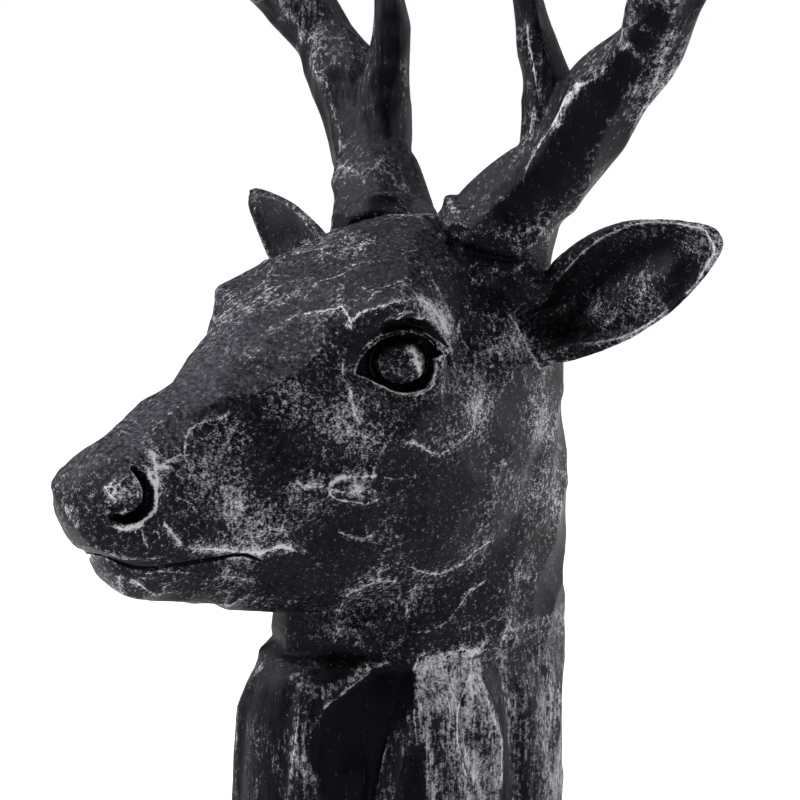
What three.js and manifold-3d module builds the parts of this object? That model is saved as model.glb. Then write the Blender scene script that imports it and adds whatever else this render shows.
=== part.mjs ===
// A stag's head and neck as a table-top bust: one resin casting with the look of hand-hewn wood.
// Millimetres, +Z up. The stag faces -Y and its left side is +X. The origin is on the flat underside,
// near its middle.
import * as THREE from "three";
import { mergeVertices } from "three/addons/utils/BufferGeometryUtils.js";
import Module from "manifold-3d";

const wasm = await Module();
wasm.setup();
const { lerp, smoothstep, clamp, degToRad, radToDeg } = THREE.MathUtils;

// How finely each piece is faceted
const HEAD_SIDES = 40;
const HEAD_RINGS = 32;
const NECK_SIDES = 70;
const FUR_RINGS = 14; // rings in the chest fur, below the collar
const THROAT_RINGS = 5; // rings above it
const EAR_SIDES = 14;
const EAR_RINGS = 10;
const ANTLER_SIDES = 9;

// Head sections, from the nose back: y is where the section stands, top, wide and low are the heights
// of its crown, its widest point and its underside, half is its half-width, and square says how far
// its upper and lower corners are from an ellipse's, which is 2.
const HEAD = [
  { y: -179, top: 184, wide: 181, low: 178, half: 4, squareUp: 2.2, squareLow: 2.2 },
  { y: -178, top: 189, wide: 181, low: 174, half: 10, squareUp: 2.2, squareLow: 2.2 },
  { y: -175, top: 195, wide: 181, low: 169, half: 15.5, squareUp: 2.3, squareLow: 2.2 },
  { y: -168, top: 202, wide: 181, low: 160, half: 20, squareUp: 2.4, squareLow: 2.1 },
  { y: -155, top: 209, wide: 178, low: 148.5, half: 23.5, squareUp: 2.3, squareLow: 2.0 },
  { y: -135, top: 219, wide: 176, low: 140.5, half: 26, squareUp: 2.2, squareLow: 2.0 },
  { y: -110, top: 234, wide: 182, low: 135, half: 32, squareUp: 2.1, squareLow: 2.0 },
  { y: -85, top: 250, wide: 198, low: 128.8, half: 43, squareUp: 2.2, squareLow: 2.0 },
  { y: -60, top: 265, wide: 214, low: 124.8, half: 53, squareUp: 2.3, squareLow: 2.5 },
  { y: -35, top: 277, wide: 220, low: 122, half: 56, squareUp: 2.4, squareLow: 3.0 },
  { y: -10, top: 284, wide: 216, low: 117, half: 55, squareUp: 2.4, squareLow: 3.0 },
  { y: 15, top: 286, wide: 212, low: 122, half: 53, squareUp: 2.3, squareLow: 2.8 },
  { y: 40, top: 280, wide: 214, low: 148, half: 49, squareUp: 2.2, squareLow: 2.3 },
  { y: 60, top: 267, wide: 216, low: 180, half: 41, squareUp: 2.1, squareLow: 2.0 },
  { y: 73, top: 250, wide: 222, low: 200, half: 28, squareUp: 2.0, squareLow: 2.0 },
  { y: 79, top: 236, wide: 224, low: 214, half: 10, squareUp: 2.0, squareLow: 2.0 },
];

// Neck sections, from the flat underside up: z is the height, mid the section's centre along Y,
// long and half its half-length and half-width.
const NECK = [
  { z: 0, mid: -2, long: 85, half: 51.5, square: 2.2 },
  { z: 30, mid: 0, long: 85.2, half: 50.5, square: 2.2 },
  { z: 62, mid: 1.7, long: 84.7, half: 49.5, square: 2.2 },
  { z: 84, mid: 3.2, long: 83.2, half: 48.5, square: 2.2 },
  { z: 98, mid: 5.5, long: 82, half: 47, square: 2.1 },
  { z: 106, mid: 10, long: 76, half: 45.5, square: 2.1 },
  { z: 125, mid: 13, long: 73, half: 45.5, square: 2.1 },
  { z: 165, mid: 15.5, long: 71.5, half: 47.5, square: 2.1 },
  { z: 205, mid: 19, long: 66, half: 49.5, square: 2.1 },
  { z: 235, mid: 20, long: 57, half: 45, square: 2.1 },
  { z: 255, mid: 19, long: 42, half: 34, square: 2.0 },
];

// Swellings and hollows of the head's left side, mirrored to the right: each moves the surface by
// push round the point at, fading out over size.
const SWELLS = [
  { name: "brow ridge", at: [51, -52, 254], size: [20, 21, 12], push: [9.5, -6, 3] },
  { name: "eye socket", at: [58, -51, 233], size: [16, 19, 11], push: [-7, 0, 0] },
  { name: "cheekbone", at: [55, -38, 206], size: [18, 34, 10], push: [3.5, 0, 0] },
  { name: "hollow before the cheek", at: [38, -92, 196], size: [16, 24, 15], push: [-3, 0, 0] },
  { name: "jaw muscle", at: [50, -12, 168], size: [18, 30, 24], push: [3, 0, 0] },
  { name: "temple", at: [54, -8, 240], size: [16, 16, 18], push: [-5, 0, -1] },
  { name: "upper lip", at: [25, -136, 166], size: [12, 34, 7], push: [2.5, 0, 0] },
  { name: "nostril wing", at: [21, -162, 188], size: [8, 11, 10], push: [2, -1, 1] },
  { name: "hollow under the lip", at: [10, -168, 160], size: [14, 8, 5], push: [-1, 3, 0] },
  { name: "chin", at: [0, -152, 148], size: [18, 16, 8], push: [0, 1, -2] },
];

// The eye: the ball's centre lies sunk behind the point at, and the lids are a ring round that point,
// wider than high, drawn out to a corner at the back and thicker above than below.
const EYE = {
  at: [52, -50.5, 232.5],
  facing: [0.92, -0.36, 0.12],
  ball: 12,
  sunk: 8.5,
  lidAcross: 14,
  lidUp: 11,
  corner: 3.5,
  upperLid: 3.1,
  lowerLid: 1.9,
};

// The left nostril, a comma cut round the wing, and the left half of the mouth, a slit from the middle
// of the lips to the corner: the points each cut runs through, and its radius.
const NOSTRIL = [
  [18.6, -164, 196.6, 1.2], [22.4, -160.5, 192.8, 2.1], [23.8, -160.3, 187.5, 2.4], [23, -163.2, 182.4, 2.4],
  [20.4, -167.8, 179.4, 2.2], [17.2, -172, 180.2, 1.3],
];
const MOUTH = [
  [-1, -169.5, 162.6, 1.5], [8, -167, 161.4, 1.5], [16.8, -157, 158.7, 1.6], [23.2, -137.5, 158.8, 1.6],
  [27.6, -118, 159.6, 1.7], [28.8, -104, 155, 1.1],
];

// The ears: each from the inner corner of its opening to its tip, with how far its root goes on into
// the skull as a share of that length. The right ear hangs a little lower than the left.
const EARS = [
  { side: 1, corner: [49, 31, 236], tip: [145, 41, 285], facing: [0.45, -0.88, 0] },
  { side: -1, corner: [52, 29, 216], tip: [146, 41, 284], facing: [0.35, -0.9, -0.1] },
];
const EAR = { halfWidth: 23.5, depth: 15, wall: 3, root: 0.28, bow: 3.4 };

// The left antler, a beam and two tines: spines of [x, y, z, radius].
const BEAM = [
  [33, 21, 264, 22], [35, 23, 275, 25.5], [38, 26, 285, 25.5], [45, 30.5, 295, 21.8], [56, 36.5, 307, 18.8],
  [66, 43, 322, 17.4], [80, 46.5, 341, 17.3], [97, 48, 359, 15.8], [117, 43, 384, 14.4], [130, 39, 412, 13],
  [139, 39, 444, 10.5], [141, 46, 474, 6.5], [140, 51, 489, 2.5],
];
const BROW_TINE = [
  [60, 42, 318, 10], [53, 38, 338, 11.3], [46.5, 38.5, 360, 9.6], [42.5, 34, 383, 6.6], [39.5, 29, 402, 4.2], [38, 26, 413, 1.8],
];
const OUTER_TINE = [
  [104, 46, 366, 10], [117, 36, 380, 10.5], [134, 20, 397, 8.6], [148, 6, 416, 6], [155, 0, 432, 3.6], [158, -2, 442, 1.6],
];
const GOUGED = 0.07; // how far the facets' corners stray from round, as a share of the radius

// Locks of fur on the throat and chest, left side: angles are in degrees round the neck from the
// front, heights in millimetres. Each lock hangs from its top to its tip, from one angle to the other.
const LOCKS = [
  { top: 104, tip: -30, from: 68, to: 92, bend: 0, width: 11.5, proud: 6 },
  { top: 97, tip: -20, from: 89, to: 99, bend: 1, width: 10, proud: 4.5 },
  { top: 92, tip: -25, from: 65, to: 51, bend: -4, width: 5, proud: 5 },
  { top: 99, tip: -40, from: 22, to: 29, bend: -3, width: 9, proud: 5 },
  { top: 97, tip: -30, from: 0, to: 0, bend: 0, width: 21, proud: 4 },
  { top: 92, tip: -10, from: 112, to: 116, bend: 2, width: 10, proud: 3.5 },
  { top: 72, tip: -40, from: 44, to: 41, bend: 0, width: 6, proud: 2 },
];
const HOLLOW = 4; // how far the ground between the locks is cut in
const COLLAR = 104; // height of the crease between the throat and the chest fur
const NAPE = [105, 135]; // the fur fades out between these angles

const vector = (xyz) => new THREE.Vector3(...xyz);
const power = (value, square) => Math.sign(value) * Math.abs(value) ** (2 / square);

// A value named key, read between the sections of a list along the coordinate named along.
function between(list, along, key, at) {
  const last = list.length - 1;
  let i = 0;
  while (i < last - 1 && at > list[i + 1][along]) i++;
  const [a, b] = [list[i], list[i + 1]];
  const before = list[Math.max(i - 1, 0)];
  const after = list[Math.min(i + 2, last)];
  const span = b[along] - a[along];
  const t = clamp((at - a[along]) / span, 0, 1);
  const slope = (p, q) => ((q[key] - p[key]) / (q[along] - p[along])) * span;
  const [m0, m1] = [slope(before, b), slope(a, after)];
  const [t2, t3] = [t * t, t * t * t];
  return (
    (2 * t3 - 3 * t2 + 1) * a[key] + (t3 - 2 * t2 + t) * m0 + (3 * t2 - 2 * t3) * b[key] + (t3 - t2) * m1
  );
}

// Rings of points, all of one length, skinned and closed with a fan at each end.
function skin(rings) {
  const sides = rings[0].length;
  const points = rings.flat();
  const index = [];
  rings.slice(1).forEach((_, i) => {
    for (let j = 0; j < sides; j++) {
      const k = (j + 1) % sides;
      const [a, b, c, d] = [i * sides + j, i * sides + k, (i + 1) * sides + j, (i + 1) * sides + k];
      index.push(a, b, d, a, d, c);
    }
  });
  const middle = (ring) => ring.reduce((sum, p) => sum.add(p), new THREE.Vector3()).divideScalar(sides);
  const first = points.push(middle(rings[0])) - 1;
  const last = points.push(middle(rings.at(-1))) - 1;
  const top = (rings.length - 1) * sides;
  for (let j = 0; j < sides; j++) {
    const k = (j + 1) % sides;
    index.push(first, k, j, last, top + j, top + k);
  }
  return new THREE.BufferGeometry().setFromPoints(points).setIndex(index);
}

// A closed geometry as a solid, turned to face outwards.
function solid(geometry) {
  const merged = mergeVertices(geometry, 1e-4);
  const vertProperties = merged.attributes.position.array;
  const make = (triVerts) => new wasm.Manifold(new wasm.Mesh({ numProp: 3, vertProperties, triVerts }));
  const index = new Uint32Array(merged.index.array);
  const made = make(index);
  return made.volume() > 0 ? made : make(index.reverse());
}

// A left-hand solid with its copy on the right.
const bothSides = (shape) => shape.add(shape.mirror([1, 0, 0]));

function swell(point) {
  const side = Math.sign(point.x);
  const moved = point.clone();
  for (const { at, size, push } of SWELLS) {
    const away = [Math.abs(point.x) - at[0], point.y - at[1], point.z - at[2]];
    const fade = Math.exp(-away.reduce((sum, d, k) => sum + (d / size[k]) ** 2, 0));
    moved.add(new THREE.Vector3(push[0] * side, push[1], push[2]).multiplyScalar(fade));
  }
  return moved;
}

function head() {
  const rings = [];
  const [front, back] = [HEAD[0].y, HEAD.at(-1).y];
  for (let i = 0; i <= HEAD_RINGS; i++) {
    const s = i / HEAD_RINGS;
    const crowded = s - 0.05 * (1 - Math.cos(2 * Math.PI * s)) * (1 - s); // closer rings at the nose
    const y = lerp(front, back, crowded);
    const at = (key) => between(HEAD, "y", key, y);
    const ring = [];
    for (let j = 0; j < HEAD_SIDES; j++) {
      const angle = (2 * Math.PI * j) / HEAD_SIDES;
      const up = Math.cos(angle);
      const square = up > 0 ? at("squareUp") : at("squareLow");
      const reach = up > 0 ? at("top") - at("wide") : at("wide") - at("low");
      const x = j % (HEAD_SIDES / 2) === 0 ? 0 : at("half") * power(Math.sin(angle), square);
      ring.push(swell(new THREE.Vector3(x, y, at("wide") + reach * power(up, square))));
    }
    rings.push(ring);
  }
  return solid(skin(rings));
}

// How far the fur stands out of the neck at an angle in degrees and a height.
function fur(angle, z) {
  const chest = smoothstep(COLLAR - z, 0, 8) * (1 - smoothstep(Math.abs(angle), ...NAPE));
  const ground = -HOLLOW * chest;
  let proud = ground;
  for (const lock of LOCKS) {
    const t = (lock.top - z) / (lock.top - lock.tip);
    if (t < 0 || t > 1) continue;
    const middle = lerp(lock.from, lock.to, t) + lock.bend * Math.sin(Math.PI * t);
    const width = lock.width * Math.min(1, 0.5 + 4 * t) * Math.sqrt(1 - 0.6 * t * t);
    const rise = lock.proud * Math.min(1, 8 * t) * chest;
    for (const centre of [middle, -middle]) {
      const away = degToRad(Math.abs(angle - centre)) * NECK[0].half * 1.25;
      if (away < width) proud = Math.max(proud, ground + rise * (1 - (away / width) ** 2) ** 0.8);
    }
  }
  return proud;
}

function neck() {
  const top = NECK.at(-1).z;
  const heights = [];
  for (let i = 0; i < FUR_RINGS; i++) heights.push((COLLAR * i) / (FUR_RINGS - 1));
  for (let i = 1; i <= THROAT_RINGS; i++) heights.push(lerp(COLLAR, top, i / THROAT_RINGS));
  const rings = heights.map((z) => {
    const at = (key) => between(NECK, "z", key, z);
    const ring = [];
    for (let j = 0; j < NECK_SIDES; j++) {
      const angle = (2 * Math.PI * j) / NECK_SIDES;
      const proud = fur(radToDeg(angle > Math.PI ? angle - 2 * Math.PI : angle), z);
      const x = (at("half") + proud) * power(Math.sin(angle), at("square"));
      const y = at("mid") - (at("long") + proud) * power(Math.cos(angle), at("square"));
      ring.push(new THREE.Vector3(x, y, z));
    }
    return ring;
  });
  return solid(skin(rings));
}

// A limb of flat facets along a spine of [x, y, z, radius], like wood cut with a gouge.
function limb(spine, sides, rings, rough) {
  const curve = new THREE.CatmullRomCurve3(spine.map((p) => vector(p.slice(0, 3))), false, "centripetal");
  const frames = curve.computeFrenetFrames(rings, false);
  const loops = [];
  for (let i = 0; i <= rings; i++) {
    const t = (i / rings) * (spine.length - 1);
    const k = Math.min(Math.floor(t), spine.length - 2);
    const radius = lerp(spine[k][3], spine[k + 1][3], t - k);
    const centre = curve.getPoint(i / rings);
    const loop = [];
    for (let j = 0; j < sides; j++) {
      const angle = (2 * Math.PI * j) / sides;
      const r = radius * (1 + rough * Math.sin(2.4 * j * j + 1.3 * i + 0.6 * i * j));
      const point = centre.clone().addScaledVector(frames.normals[i], r * Math.cos(angle));
      loop.push(point.addScaledVector(frames.binormals[i], r * Math.sin(angle)));
    }
    loops.push(loop);
  }
  return solid(skin(loops));
}

function antler() {
  const brow = limb(BROW_TINE, ANTLER_SIDES - 1, 10, GOUGED);
  const outer = limb(OUTER_TINE, ANTLER_SIDES - 1, 10, GOUGED);
  return limb(BEAM, ANTLER_SIDES, 24, GOUGED).add(brow).add(outer);
}

// How wide the ear's opening is at a share of its length, as a share of its widest.
const opening = (s) => Math.sin(Math.PI * clamp(s, 0, 1) ** 0.85) ** 0.6;

// A leaf along the ear from one share of its length to another: wide and deep are its half-width and
// its depth behind the rim's plane as functions of that share, front how far it swells before it.
function leaf({ side, corner, tip, facing }, [from, to], wide, deep, front) {
  const along = vector(tip).sub(vector(corner));
  const axis = along.clone().normalize();
  const out = vector(facing);
  out.addScaledVector(axis, -out.dot(axis)).normalize();
  const up = axis.clone().cross(out).negate();
  const loops = [];
  for (let i = 0; i <= EAR_RINGS; i++) {
    const s = lerp(from, to, i / EAR_RINGS);
    const bow = EAR.bow * Math.sin(Math.PI * clamp(s, 0, 1));
    const centre = vector(corner).addScaledVector(along, s).addScaledVector(up, bow);
    const loop = [];
    for (let j = 0; j < EAR_SIDES; j++) {
      const angle = (2 * Math.PI * j) / EAR_SIDES;
      const lift = Math.cos(angle) * (Math.cos(angle) > 0 ? front : deep(s));
      const point = centre.clone().addScaledVector(up, wide(s) * Math.sin(angle));
      loop.push(point.addScaledVector(out, lift));
    }
    loops.push(loop);
  }
  const shape = solid(skin(loops));
  return side > 0 ? shape : shape.mirror([1, 0, 0]);
}

function ear(which) {
  const widest = 0.43; // share of the length where the opening is widest
  const tipEnd = 0.985;
  const bodyWide = (s) => EAR.halfWidth * (s > widest ? opening(s) : Math.max(1 - 2.2 * (widest - s) ** 2, 0.6));
  const bodyDeep = (s) => EAR.depth * (1.05 - 0.75 * clamp(s, 0, 1)) * Math.min(1, 0.25 + opening(Math.max(s, widest)));
  const scoopWide = (s) => Math.max(EAR.halfWidth * opening(s) - EAR.wall, 0.5);
  const scoopDeep = (s) => Math.max(bodyDeep(s) - EAR.wall, 0.5) * Math.min(1, 0.3 + opening(s));
  const body = leaf(which, [-EAR.root, tipEnd], bodyWide, bodyDeep, 1.5);
  return body.subtract(leaf(which, [0.02, 0.95], scoopWide, scoopDeep, 14));
}

const bare = (geometry) => geometry.deleteAttribute("normal").deleteAttribute("uv");

function eye() {
  const sunk = vector(EYE.facing).normalize().multiplyScalar(-EYE.sunk);
  const centre = vector(EYE.at).add(sunk);
  const ball = bare(new THREE.SphereGeometry(EYE.ball, 14, 9)).translate(...centre.toArray());
  const ring = bare(new THREE.TorusGeometry(1, 0.5, 6, 16));
  const positions = ring.attributes.position;
  for (let i = 0; i < positions.count; i++) {
    const [x, y, z] = [positions.getX(i), positions.getY(i), positions.getZ(i)];
    const round = Math.hypot(x, y);
    const [cos, sin] = [x / round, y / round];
    const thick = lerp(EYE.lowerLid, EYE.upperLid, smoothstep(sin, -0.6, 0.6));
    const across = EYE.lidAcross + EYE.corner * smoothstep(cos, 0.7, 1);
    const off = 2 * thick * (round - 1);
    positions.setXYZ(i, (across + off) * cos, (EYE.lidUp + off) * sin, 2 * thick * z);
  }
  const turned = new THREE.Matrix4().lookAt(vector(EYE.facing), new THREE.Vector3(), new THREE.Vector3(0, 0, 1));
  ring.applyMatrix4(turned).translate(...EYE.at);
  return solid(ball).add(solid(ring));
}

const bust = head()
  .add(neck())
  .add(ear(EARS[0]))
  .add(ear(EARS[1]))
  .add(bothSides(antler()))
  .add(bothSides(eye()))
  .subtract(bothSides(limb(NOSTRIL, 6, 10, 0)))
  .subtract(bothSides(limb(MOUTH, 6, 10, 0)));
const mesh = bust.getMesh();
const geometry = new THREE.BufferGeometry()
  .setAttribute("position", new THREE.BufferAttribute(new Float32Array(mesh.vertProperties), 3))
  .setIndex(new THREE.BufferAttribute(new Uint32Array(mesh.triVerts), 1));
const part = new THREE.Group();
const bustMesh = new THREE.Mesh(geometry, new THREE.MeshStandardMaterial({ color: 0x17171a, roughness: 0.45 }));
bustMesh.name = "deer_head_bust";
part.add(bustMesh);
export default part;
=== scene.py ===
"""The deer head bust as it looks: a hand-hewn form cast in resin, painted black and dry-brushed silver."""

import math

import bpy
import numpy as np
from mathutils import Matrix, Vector


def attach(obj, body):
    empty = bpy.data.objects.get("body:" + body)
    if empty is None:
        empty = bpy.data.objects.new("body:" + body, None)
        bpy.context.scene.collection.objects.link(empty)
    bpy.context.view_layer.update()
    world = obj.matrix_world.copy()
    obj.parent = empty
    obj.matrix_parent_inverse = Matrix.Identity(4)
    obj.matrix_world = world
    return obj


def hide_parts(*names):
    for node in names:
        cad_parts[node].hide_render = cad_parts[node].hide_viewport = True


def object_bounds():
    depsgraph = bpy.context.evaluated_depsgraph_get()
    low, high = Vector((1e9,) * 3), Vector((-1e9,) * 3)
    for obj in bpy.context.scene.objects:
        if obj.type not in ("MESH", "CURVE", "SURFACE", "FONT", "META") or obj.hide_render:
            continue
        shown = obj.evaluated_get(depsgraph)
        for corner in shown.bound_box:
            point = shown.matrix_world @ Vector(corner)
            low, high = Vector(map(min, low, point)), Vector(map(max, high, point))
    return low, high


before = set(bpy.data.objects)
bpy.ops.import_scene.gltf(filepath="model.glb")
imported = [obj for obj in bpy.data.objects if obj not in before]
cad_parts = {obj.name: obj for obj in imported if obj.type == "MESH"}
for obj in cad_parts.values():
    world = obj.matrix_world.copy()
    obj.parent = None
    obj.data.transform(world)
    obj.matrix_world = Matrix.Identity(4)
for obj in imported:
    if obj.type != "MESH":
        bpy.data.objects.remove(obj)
cad_box = [list(corner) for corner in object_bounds()]
NODE = "deer_head_bust"
rng = np.random.default_rng(11)

# All shapes are worked out in millimetres and scaled when the mesh is made.
MM = 0.001
VOXEL = 0.95
MOST_TRIANGLES = 196000

# The camera stands 46 degrees round to the stag's left and 8 degrees up, and looks at the head's middle.
LOOK_AT = np.array([0, 0, 207.0])
AZIMUTH = math.radians(46)
ELEVATION = math.radians(8)
DISTANCE = 1300
LENS = 136.05

# The lights shine on the head from directions given right, up and towards the camera; metres and watts.
LIGHTS = [("key", (-1, 0.6, 0), (1.1, 1.1), 42), ("rim", (1, 0.3, -0.3), (0.9, 1.2), 30)]
LIGHT_DISTANCE = 1.9
HEAD_HEIGHT = 0.24
SUN_WAY = (-0.3, -0.3, 1)
SUN_WIDTH = 60
SUN_STRENGTH = 3.3
SKY_STRENGTH = 0.2
FLOOR_HALF = 60

# Paint colours, and how fine the patterns of the brushed silver are.
SILVER = (0.5, 0.487, 0.525, 1)
# The darkest black is painted shade, for hollows, corners and creases.
PAINTED_SHADE_COLOUR = (0.0012, 0.0011, 0.0015, 1)
SIDE_BLACK = (0.011, 0.0101, 0.0137, 1)
# A lighter black, a painted sheen on surfaces that face up.
PAINTED_SHEEN_COLOUR = (0.06, 0.0575, 0.071, 1)
SPECK, STREAK, GRAIN, FRAY, VEIN, PATCH, CLOUD = 1500, 1100, 520, 380, 210, 70, 24
# How far ambient occlusion looks for the corners that get painted shade, in metres.
CORNER_REACH = 0.014
BUMP_HEIGHT = 0.0007

# Named as in the solid's source, and within 2 mm of its sizes: head sections (y, top, wide, low, half-width,
# square above, square below), neck sections (z, middle, half-length, half-width, square) and swellings of the
# left side (where, size, push).
HEAD = [
    (-179, 184, 181, 178, 4, 2.2, 2.2), (-178, 189, 181, 174, 10, 2.2, 2.2),
    (-175, 195, 181, 169, 15.5, 2.3, 2.2), (-168, 202, 181, 160, 20, 2.4, 2.1),
    (-155, 208, 178, 147, 23.5, 2.3, 2.0), (-135, 217.6, 176, 139, 26, 2.2, 2.0),
    (-110, 232.3, 182, 133.8, 32, 2.1, 2.0), (-85, 248.3, 198, 128, 43, 2.2, 2.0),
    (-60, 263.8, 214, 124.8, 53, 2.3, 2.5), (-35, 277, 220, 122, 56, 2.4, 3.0),
    (-10, 284, 216, 117, 55, 2.4, 3.0), (15, 286, 212, 122, 53, 2.3, 2.8),
    (40, 280, 214, 148, 47.6, 2.2, 2.3), (60, 267, 216, 180, 39.5, 2.1, 2.0),
    (73, 250, 222, 200, 28, 2.0, 2.0), (79, 236, 224, 214, 10, 2.0, 2.0),
]
NECK = [
    (0, -2, 85, 51.5, 2.2), (30, 0, 84.2, 50.5, 2.2), (62, 1.7, 84, 49.5, 2.2),
    (84, 3.2, 83.2, 48.5, 2.2), (98, 5.5, 83.5, 47, 2.1), (106, 10, 77.5, 45.5, 2.1),
    (125, 13, 74.5, 45.5, 2.1), (165, 15.5, 71.5, 47.5, 2.1), (205, 18.5, 64, 47.5, 2.1),
    (235, 19, 55, 43.5, 2.1), (255, 19, 42, 34, 2.0),
]
SWELLS = [
    ((51, -52, 254), (20, 21, 12), (10.5, -6.5, 3.5)),  # brow ridge
    ((58, -51, 233), (16, 19, 11), (-7, 0, 0)),  # eye socket
    ((55, -38, 206), (18, 34, 10), (3.5, 0, 0)),  # cheekbone
    ((38, -92, 196), (16, 24, 15), (-3, 0, 0)),  # hollow before the cheek
    ((50, -12, 168), (18, 30, 24), (3, 0, 0)),  # jaw muscle
    ((54, -8, 240), (16, 16, 18), (-5, 0, -1)),  # temple
    ((25, -136, 166), (12, 34, 7), (2.5, 0, 0)),  # upper lip
    ((21, -162, 188), (8, 11, 10), (2, -1, 1)),  # nostril wing
    ((10, -168, 160), (14, 8, 5), (-1, 3, 0)),  # hollow under the lip
    ((0, -152, 148), (18, 16, 8), (0, 1, -2)),  # chin
]
LOCKS = [  # top, tip, from angle, to angle, bend, width, proud
    (104, -30, 68, 92, 0, 11.5, 6), (97, -20, 89, 99, 1, 10, 4.5), (92, -25, 65, 51, -4, 5, 5),
    (99, -40, 22, 29, -3, 9, 5), (97, -30, 0, 0, 0, 21, 4), (92, -10, 112, 116, 2, 10, 3.5),
    (72, -40, 44, 41, 0, 6, 2),
]
LOCK_HOLLOW = 4
COLLAR = 104
NAPE = (105, 135)
# The deep hollow between the locks in front: its angle, how far its sides reach, its top and its depth.
SHADE_ANGLE = 43
SHADE_SIDES = (7, 15)
SHADE_TOP = 82
SHADE_DEPTH = 3.5
EYE = np.array([52, -50.5, 232.5])
EYE_FACING = np.array([0.92, -0.36, 0.12])
EYE_BALL = (10.8, 9.3)
EYE_BACK = 2
EYE_BULGE = 6.4
EYE_EDGE = -4.8
EYE_GAP = -7.2
EYE_RING = 1.17
EYE_RING_WIDE = 0.05
EYE_RING_HIGH = 2.4
EYE_REACH = 34
EYE_DEPTH = 20
# Rubbed lines beside the eye's opening: from and to angle, distance outside it, how much rubbed.
LID_LINES = [(-32, 328, 0.5, 0.5), (-78, -22, 1.7, 0.8), (5, 165, 2.1, 0.6)]
FINE_ROUND_EYE = 27
EARS = [  # side, inner corner of the opening, tip, facing, half-width
    (1, (49, 31, 236), (145, 41, 285), (0.45, -0.88, 0), 23.5),
    (-1, (52, 29, 218), (146, 41, 286), (0.35, -0.9, -0.1), 26.5),
]
EAR_DEPTH = 15
EAR_WALL = 3
EAR_ROOT = 0.28
EAR_BOW = 3.4
EAR_WIDEST = 0.43
EAR_LOBE = 6.5
EAR_LEDGE = 2.2
EAR_THINNEST = 1.7
HEWN_FLATS = 6
HEWN_EDGE = np.array([0.05, -1, 0.05])
BEAM = [
    (33, 21, 264, 22), (35, 23, 275, 24), (38, 27, 285, 22.5), (43.5, 30.5, 295, 20.3),
    (55.5, 36.3, 307, 17.2), (66, 41.5, 322, 17.8), (79.5, 43.4, 341, 17.3), (98, 47, 359, 13.6),
    (115.5, 40, 384, 15.3), (128.5, 36.5, 412, 13), (138, 38, 444, 10.5), (141, 46, 474, 6.5),
    (140, 51, 489, 2.5),
]
BROW_TINE = [
    (54, 39, 296, 12), (50.5, 39, 316, 12.5), (50.2, 39, 337, 11.4), (44.8, 37.2, 360, 8.8),
    (41.2, 33.4, 383, 6), (39.5, 29, 402, 4.2), (38, 26, 413, 1.8),
]
BURR = [(20, 15, 262, 18), (27, 18.5, 271, 23), (33.5, 22, 280, 24), (37, 24, 285, 15)]
OUTER_TINE = [
    (104, 46, 366, 10), (117, 36, 380, 10.5), (134, 20, 397, 8.6), (148, 6, 416, 6),
    (155, 0, 432, 3.6), (158, -2, 442, 1.6),
]
EAR_ROOT_FILL = [(34, 23, 263, 8), (41, 26, 261, 10), (49, 29, 257, 10), (57, 32, 252, 6)]
FAR_EAR_FILL = [(-42, 30, 256, 7), (-47, 30, 250, 9), (-50, 31, 243, 10), (-50, 32, 236, 8)]
NOSTRIL = [
    (17.8, -161.5, 197), (21, -159.9, 193), (22.5, -158.8, 188.6), (22.5, -159.4, 184),
    (21, -162.6, 180.5), (18.5, -167, 178.8), (17, -172, 180),
]
MOUTH = [
    (-1, -169, 162), (4, -168, 161.4), (9.9, -162.5, 159.4), (16.1, -154.9, 158.2),
    (19.6, -145.1, 158.2), (22.9, -135, 157.9), (24.6, -125.8, 158.2), (26.2, -118.5, 159.2),
    (27, -112.3, 158.6), (27.8, -105, 155),
]
EYE_CREASE = [
    (51, -57.5, 246.5), (52, -53.5, 248), (54, -46.5, 248), (54, -37.5, 246), (54, -31.5, 241.5),
    (54, -26, 236.5), (54, -21.5, 230.5),
]
UNDER_BURR = [
    (6.8, 10, 285.6), (20.5, 3.7, 282.5), (33, -1.6, 277.3), (39.3, -0.2, 273.4), (44.9, 3, 271.5),
    (50.5, 6.3, 270.4), (55.2, 10.4, 269.6), (57.3, 15.4, 271),
]
THROAT = [
    (-12, -66, 106), (0, -67.2, 106.9), (7.9, -65.7, 108.7), (16.4, -62.1, 109.1), (24.8, -55.7, 108.7),
    (34, -45, 107),
]
CHEEK_CUT = [(31, -104.5, 194), (33, -100.2, 199.1), (33.8, -97.5, 206)]
# Grooves cut after the union, on both sides: path, half-width, depth, how square the walls are.
GROOVES = [
    (NOSTRIL, 2.5, 7, 6),
    (MOUTH, 1.1, 2, 3),
    (EYE_CREASE, 2.1, 4.2, 2.5),
    (UNDER_BURR, 2.6, 3.2, 2),
    (THROAT, 3.6, 2.2, 2),
    (CHEEK_CUT, 2.5, 1.6, 2),
]
# Rubbed rims: beside the nostril (rubbed, half-width, distance from its slot), and round the ears.
NOSTRIL_RIMS = [(2, 1.1, -3.5), (1, 0.5, 2.7)]
EAR_RIM = (0.95, 1)
RIDGE_HEIGHT = 0.6
# A path marks the surface within this far of it, sideways and in depth.
PATH_REACH = 12
PATH_DEPTH = 7
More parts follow.
